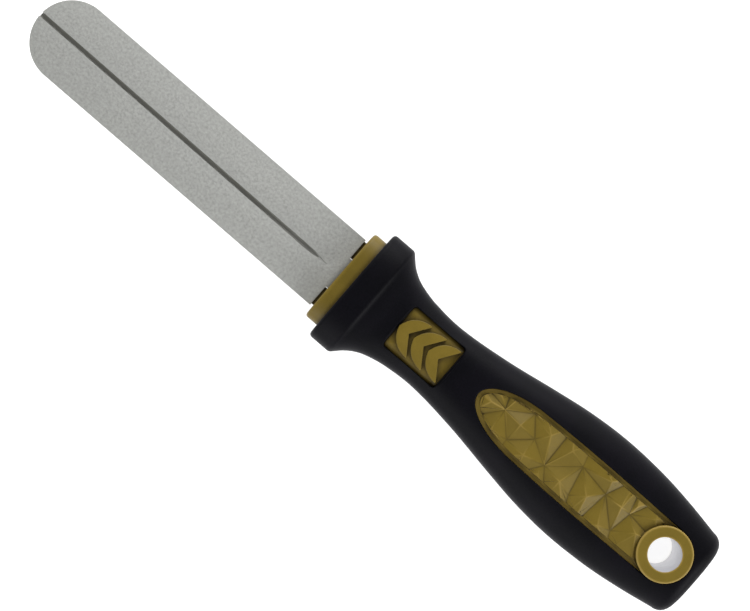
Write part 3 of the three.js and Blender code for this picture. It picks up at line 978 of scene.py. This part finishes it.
@dataclass
class GripPanel(Inlay):
    """The boat-shaped panel in the belly: a flat rim round a field of low, scattered pyramids."""

    window_nose: float = 147.4
    nose_length: float = 18.0
    half_width: float = 7.4
    bulge: float = 8.05
    bulge_x: float = 182.0
    ring_x: float = 209.3
    ring_gap_radius: float = 7.36
    rim: float = 1.3
    rim_gap: float = 0.1
    field_half_width: float = 6.5
    field_seat: float = 0.8
    field_root: float = 0.3
    valley_sink: float = 1.3
    ridge: float = 0.2
    # Width of the strips along ridges and valleys that get a painted highlight and painted shade.
    line: float = 0.4

    CORNERS: ClassVar[dict[str, tuple[float, float]]] = {
        "nose": (143.0, 0.0),
        "bow": (144.6, 3.4),
        "top1": (152.5, 9.0),
        "low1": (147.2, -8.6),
        "mid1": (155.2, 1.4),
        "mid2": (160.4, -4.2),
        "low2": (160.5, -9.6),
        "mid3": (165.7, 0.6),
        "apex": (161.7, 5.5),
        "top2": (161.7, 9.6),
        "top3": (171.4, 9.8),
        "mid4": (171.8, -2.8),
        "low3": (167.2, -9.5),
        "low4": (177.0, -9.6),
        "top4": (177.5, 9.8),
        "mid5": (179.4, 3.3),
        "mid6": (181.2, -4.6),
        "low5": (183.5, -9.5),
        "mid7": (188.2, 1.8),
        "low6": (186.9, -9.6),
        "top5": (191.8, 9.8),
        "mid8": (195.0, -4.5),
        "low7": (197.4, -9.5),
        "mid9": (196.1, 1.9),
        "top6": (193.8, 9.7),
        "top7": (199.8, 9.6),
        "ring1": (206.0, 9.6),
        "ring2": (206.0, 0.6),
        "ring3": (206.0, -9.6),
    }
    # Each pyramid's peak, as place and rise over the valleys, and the corners round its foot.
    PYRAMIDS: ClassVar[tuple[tuple[tuple[float, float, float], str], ...]] = (
        ((151.2, 0.6, 0.8), "nose low1 mid1 bow"),
        ((152.4, 3.4, 0.55), "bow mid1 top1"),
        ((155.8, 4.7, 0.9), "top1 mid1 apex top2"),
        ((155.7, -4.7, 1.0), "low1 low2 mid2 mid1"),
        ((160.6, 0.9, 1.15), "mid1 mid2 mid3 apex"),
        ((166.0, -4.4, 1.15), "mid2 low2 low3 mid4 mid3"),
        ((168.1, 3.9, 1.15), "top2 apex mid3 mid4 top3"),
        ((171.9, -5.6, 0.5), "mid4 low3 low4"),
        ((174.8, 4.6, 1.15), "top3 mid4 mid5 top4"),
        ((177.2, -3.4, 1.15), "mid4 low4 low5 mid6 mid5"),
        ((184.8, -1.9, 1.15), "mid5 mid6 low5 low6 mid7"),
        ((187.3, 5.2, 1.15), "top4 mid5 mid7 top5"),
        ((193.3, 1.9, 1.15), "mid7 mid8 mid9 top6 top5"),
        ((191.7, -5.5, 1.15), "mid7 low6 low7 mid8"),
        ((196.5, 4.8, 0.6), "top6 mid9 top7"),
        ((200.3, -0.9, 1.15), "mid9 mid8 low7 ring3 ring2"),
        ((202.0, 5.2, 0.9), "mid9 ring2 ring1 top7"),
    )

    def window(self, margin: float) -> list[Vector]:
        """Returns: the boat's outline moved inwards by margin, with an elliptical nose."""
        side, bulge = self.half_width - margin, self.bulge - margin
        nose_end = self.window_nose + self.nose_length
        nose = [
            Vector((nose_end + (self.nose_length - margin) * math.cos(a), side * math.sin(a), 0))
            for a in arc(48, 90, 270)
        ]
        flank = []
        steps = 40
        for i in range(1, steps + 1):
            t = i / steps
            end_x = self.ring_x + margin
            x = (1 - t) ** 2 * nose_end + 2 * t * (1 - t) * self.bulge_x + t * t * end_x
            y = (1 - t) ** 2 * side + 2 * t * (1 - t) * bulge + t * t * side
            flank.append(Vector((x, -y, 0)))
        return [*nose, *flank, *(Vector((p.x, -p.y, 0)) for p in reversed(flank))]

    def ring_hole(self, seat: float) -> bmesh.types.BMesh:
        """Returns: the cutter that makes room for the hang ring."""
        hole = circle(self.ring_gap_radius, self.ring_x, 128)
        return prism(hole, seat - OVERCUT, seat + TALL_CUT)

    def facets(self, seat: float) -> bmesh.types.BMesh:
        """The field of pyramids as one solid with softened ridges and valleys.

        Args:
            seat: the height of its flat underside.

        Returns:
            The solid's mesh.
        """
        bm = bmesh.new()

        def valley(x: float, y: float) -> float:
            """Returns: the height of the valleys, which stay level beyond the field's edge."""
            held = max(-self.field_half_width, min(self.field_half_width, y))
            return FORM.crown(Vector((x, held, 0)), self.valley_sink)

        corners = {name: bm.verts.new((x, y, valley(x, y))) for name, (x, y) in self.CORNERS.items()}
        for (x, y, rise), names in self.PYRAMIDS:
            face = bm.faces.new([corners[name] for name in names.split()])
            peak = bmesh.ops.poke(bm, faces=[face])["verts"][0]
            peak.co = (x, y, valley(x, y) + rise)
        foot = bmesh.ops.extrude_face_region(bm, geom=bm.faces[:], use_keep_orig=True)
        for item in foot["geom"]:
            if isinstance(item, bmesh.types.BMVert):
                item.co.z = seat
        bmesh.ops.recalc_face_normals(bm, faces=bm.faces[:])
        field = as_object(bm, "field")
        outline = self.window(self.rim + self.rim_gap)
        combine(field, prism(outline, seat - OVERCUT, seat + TALL_CUT), Join.KEEP)
        combine(field, self.ring_hole(seat), Join.CUT)
        bm = bmesh.new()
        bm.from_mesh(field.data)
        bpy.data.meshes.remove(field.data)

        def crest(edge: bmesh.types.BMEdge) -> bool:
            """Returns: whether the edge is a ridge or valley between two facets."""
            tops = all(face.normal.z > 0.3 for face in edge.link_faces)
            return tops and edge.calc_face_angle(0) > math.radians(2)

        round_edges(bm, crest, self.ridge, segments=2)
        return bm

    def build(self) -> bpy.types.Object:
        """Returns: the grip panel of one side."""
        seat = span("front_grip_panel")[0].z
        plate = self.plate(self.window(self.seam), seat, self.recess)
        piece = as_object(plate, f"{self.side.value}_faceted_panel")
        combine(piece, self.ring_hole(seat), Join.CUT)
        floor = seat + self.field_seat
        combine(piece, prism(self.window(self.rim), floor, seat + TALL_CUT), Join.CUT)
        combine(piece, self.facets(floor - self.field_root), Join.ADD)
        # The bend attribute gives a painted highlight along the pyramids' ridges and painted shade along
        # their valleys.
        mark_bends(piece, self.line)
        node = f"{self.side.value}_grip_panel"
        material = OLIVE_NYLON.material()
        return settle(piece, material, node, sharp_above=40, turn=self.side.turn())


@dataclass
class HangEye:
    """The hang hole: an olive ring on each side and the metal tube that lines the hole."""

    ring_edge: float = 0.35
    mouth_radius: float = 4.4
    lip: float = 0.225
    bore_gap: float = 0.06
    wall: float = 0.45
    edge_strip: float = 0.1
    steps: int = 128

    def spun(self, section: Sequence[tuple[float, float]], centre: Vector) -> bmesh.types.BMesh:
        """Spins a closed section round the hole's axis.

        Args:
            section: radius and height of each point.
            centre: a point on the axis.

        Returns:
            The closed mesh.
        """
        bm = bmesh.new()
        verts = [bm.verts.new((centre.x + r, centre.y, z)) for r, z in section]
        edges = [bm.edges.new((verts[i - 1], verts[i])) for i in range(len(verts))]
        bmesh.ops.spin(
            bm,
            geom=[*verts, *edges],
            cent=(centre.x, centre.y, 0),
            axis=(0, 0, 1),
            angle=2 * math.pi,
            steps=self.steps,
            use_merge=True,
        )
        bmesh.ops.remove_doubles(bm, verts=bm.verts[:], dist=WELD)
        bmesh.ops.recalc_face_normals(bm, faces=bm.faces[:])
        return bm

    def build_ring(self, side: Side) -> bpy.types.Object:
        """Returns: the ring of one side."""
        low, high = span("front_hang_ring")
        centre = (low + high) / 2
        outer = high.y
        inner = span("lanyard_tube")[1].y + self.bore_gap
        r = self.ring_edge
        small = r / 3
        seat = span("lanyard_tube")[1].z + self.bore_gap / 2
        mouth = self.mouth_radius
        section = [(inner, low.z), (inner, seat), (mouth, seat)]
        section += [
            (mouth + small * (1 - math.cos(a)), high.z - small * (1 - math.sin(a))) for a in arc(4, 0, 90)
        ]
        section += [(mouth + r, high.z), (outer - 2 * r, high.z)]
        section += [(outer - r + r * math.sin(a), high.z - r + r * math.cos(a)) for a in arc(5, 0, 90)]
        section += [(outer, low.z)]
        piece = as_object(self.spun(section, centre), f"{side.value}_hang_eye_ring")
        # The bend attribute gives a painted highlight on the ring's rounded edges and painted shade at
        # its inner bends.
        mark_bends(piece, self.edge_strip)
        node = f"{side.value}_hang_ring"
        return settle(piece, OLIVE_NYLON.material(), node, turn=side.turn())

    def build_tube(self) -> bpy.types.Object:
        """Returns: the liner, with a rounded lip at each end."""
        low, high = span("lanyard_tube")
        half = self.wall / 2
        middle = high.y - half
        lip = self.lip
        top = [(middle + half * math.cos(a), high.z - lip + lip * math.sin(a)) for a in arc(6, 0, 180)]
        bottom = [(x, -z) for x, z in reversed(top)]
        piece = as_object(self.spun([*top, *bottom], (low + high) / 2), "lined_hang_hole")
        return settle(piece, DRAWN_TUBE.material(), "lanyard_tube", sharp_above=50)

    def build(self) -> list[bpy.types.Object]:
        """Returns: both rings and the tube."""
        return [*(self.build_ring(side) for side in Side), self.build_tube()]


@dataclass
class Grip:
    """The soft black overmould, hollow for the core and open at its windows."""

    sides: int = 144
    wall: float = 2.2
    core_gap: float = 0.3
    core_power: float = 3.2
    window_round: float = 0.32
    tangent_limit: float = 18
    window_floor: float = 4.0
    flare: float = 1.6
    flare_height: float = 2.0
    eye_gap: float = 0.06
    cavity_margin: float = 0.8
    cavity_rows: int = 36
    cavity_sides: int = 64
    seam: float = 0.12

    def cutter(self, outline: Ring, side: Side) -> bmesh.types.BMesh:
        """A window's cutter, which leaves a rounded rim on the grip.

        Args:
            outline: the window's outline, anticlockwise.
            side: the side that it opens.

        Returns:
            The cutter's mesh.
        """
        r = self.window_round
        rings = [lifted(outline, lambda p: self.window_floor)]
        for angle in arc(5, 90, self.tangent_limit):
            moved = offset(outline, r * (1 - math.sin(angle)))
            rings.append(lifted(moved, lambda p, a=angle: FORM.crown(p) - r * (1 - math.cos(a))))
        flared = offset(outline, r * self.flare)
        rings.append(lifted(flared, lambda p: FORM.crown(p) + r))
        rings.append(lifted(flared, lambda p: FORM.crown(p) + self.flare_height))
        bm = skin(rings)
        bm.transform(side.turn())
        return bm

    def cavity(self) -> bmesh.types.BMesh:
        """Returns: the hollow that holds the core, open at the front."""
        collar_high = span("collar")[1]
        core_low, core_high = span("core_front_half")
        widest, tallest = collar_high.y - self.cavity_margin, collar_high.z - self.cavity_margin
        start, end = FORM.rear_corner()[-1].x, core_high.x
        stations = [Station(core_low.x - OVERCUT, widest, tallest)]
        for i in range(self.cavity_rows + 1):
            x = start + (end - start) * i / self.cavity_rows
            full = FORM.station(x)
            width, height = full.half_width - self.wall, full.half_height - self.wall
            if x < ThumbPlate.first_nose:
                width, height = min(width, widest), min(height, tallest)
            stations.append(Station(x, width, height))
        last = stations[-1]
        stations.append(Station(end + self.core_gap, last.half_width, last.half_height))
        return skin([s.ring(self.core_power, self.cavity_sides, -self.core_gap) for s in stations])

    def build(self, thumb: ThumbPlate, panel: GripPanel) -> bpy.types.Object:
        """Builds the grip.

        Args:
            thumb: gives the neck window's outline.
            panel: gives the belly window's outline.

        Returns:
            The grip.
        """
        rings = [s.ring(FORM.power, self.sides, seam=self.seam) for s in FORM.stations()]
        piece = as_object(skin(rings), "soft_grip")
        combine(piece, self.cavity(), Join.CUT)
        eye = circle(span("front_hang_ring")[1].y + self.eye_gap, panel.ring_x, 128)
        for side in Side:
            combine(piece, self.cutter(thumb.window(0), side), Join.CUT)
            combine(piece, self.cutter(panel.window(0), side), Join.CUT)
            combine(piece, self.cutter(eye, side), Join.CUT)
        return settle(piece, SOFT_TPE.material(), "grip_sleeve")


@dataclass
class HiddenParts:
    """The frame's own inner parts, which keep their shape and get their finish."""

    core: tuple[str, ...] = ("core_front_half", "core_back_half")
    pins: tuple[str, ...] = ("tang_pin_fore", "tang_pin_aft")

    def dress(self) -> None:
        """Gives each inner part its finish."""
        for names, finish in ((self.core, CORE_NYLON), (self.pins, TURNED_STEEL)):
            for name in names:
                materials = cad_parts[name].data.materials
                materials.clear()
                materials.append(finish.material())
                log.info("%s keeps its shape", name)


# ---- Studio -------------------------------------------------------------------------------------------


@dataclass
class Studio:
    """A pale floor, soft light and a camera that looks straight down."""

    aim: Vector
    roll: float = 40.8
    lens: float = 100.0
    distance: float = 0.5328
    floor_size: float = 6.0
    table_glow: float = 0.85
    horizon: float = 1.25
    zenith: float = 0.3
    # Each light's name, place and size in metres, and power in watts.
    lights: tuple[tuple[str, tuple[float, float, float], float, float], ...] = (
        ("key", (0.66, -0.06, 0.36), 0.35, 2.9),
        ("fill", (-0.25, 0.62, 0.3), 0.5, 5),
        ("side", (0, -0.65, 0.4), 0.5, 2.4),
    )

    def build_camera(self) -> None:
        """Makes the camera and sets it as the scene's."""
        data = bpy.data.cameras.new("camera")
        data.lens = self.lens
        data.sensor_width = 36
        data.clip_start = 0.01
        camera = bpy.data.objects.new("camera", data)
        camera.location = self.aim + Vector((0, 0, self.distance))
        camera.rotation_euler = (0, 0, math.radians(self.roll))
        bpy.context.scene.collection.objects.link(camera)
        bpy.context.scene.camera = camera

    def build_floor(self) -> None:
        """Makes the floor, level with the tool's lowest point."""
        bm = bmesh.new()
        bmesh.ops.create_grid(bm, x_segments=1, y_segments=1, size=self.floor_size / 2)
        floor = as_object(bm, "floor")
        table = bpy.data.materials.new("lit_white_acrylic")
        table.use_nodes = True
        shader = table.node_tree.nodes["Principled BSDF"]
        shader.inputs["Base Color"].default_value = linear("bcbcbc")
        shader.inputs["Roughness"].default_value = 0.9
        shader.inputs["Specular IOR Level"].default_value = 0.1
        shader.inputs["Emission Color"].default_value = linear("ffffff")
        shader.inputs["Emission Strength"].default_value = self.table_glow
        floor.data.materials.append(table)

    def add_light(self, name: str, place: Vector, size: float, power: float) -> None:
        """Adds a square soft light that faces the tool.

        Args:
            name: the light's name.
            place: where it stands, in metres.
            size: its edge, in metres.
            power: in watts.
        """
        data = bpy.data.lights.new(name, "AREA")
        data.size = size
        data.energy = power
        light = bpy.data.objects.new(name, data)
        light.location = place
        light.rotation_mode = "QUATERNION"
        light.rotation_quaternion = (self.aim - place).to_track_quat("-Z", "Y")
        bpy.context.scene.collection.objects.link(light)

    def build_light(self) -> None:
        """Makes a surround that is bright near the horizon and dark overhead, and soft side lights."""
        world = bpy.data.worlds.new("side_lit_surround")
        world.use_nodes = True
        tree = world.node_tree
        way = add(tree, "ShaderNodeTexCoord").outputs["Generated"]
        height = add(tree, "ShaderNodeSeparateXYZ", links={"Vector": way}).outputs["Z"]
        strength = add(
            tree,
            "ShaderNodeMapRange",
            {"From Min": 0.15, "From Max": 0.6, "To Min": self.horizon, "To Max": self.zenith},
            {"Value": height},
        ).outputs["Result"]
        tree.links.new(strength, tree.nodes["Background"].inputs["Strength"])
        tree.nodes["Background"].inputs["Color"].default_value = linear("ffffff")
        bpy.context.scene.world = world
        for name, place, size, power in self.lights:
            self.add_light(name, Vector(place), size, power)
        bpy.context.scene.view_settings.view_transform = "Standard"

    def build(self) -> None:
        """Builds the whole studio."""
        self.build_camera()
        self.build_floor()
        self.build_light()


def main() -> None:
    """Builds the studio and every sub-assembly."""
    logging.basicConfig(level=logging.INFO, format="%(message)s")
    Studio(AIM).build()
    Blade().build()
    Collar().build()
    for side in Side:
        thumb, panel = ThumbPlate(side), GripPanel(side)
        thumb.build()
        panel.build()
    HangEye().build()
    Grip().build(ThumbPlate(Side.FRONT), GripPanel(Side.FRONT))
    HiddenParts().dress()


if __name__ == "__main__":
    main()
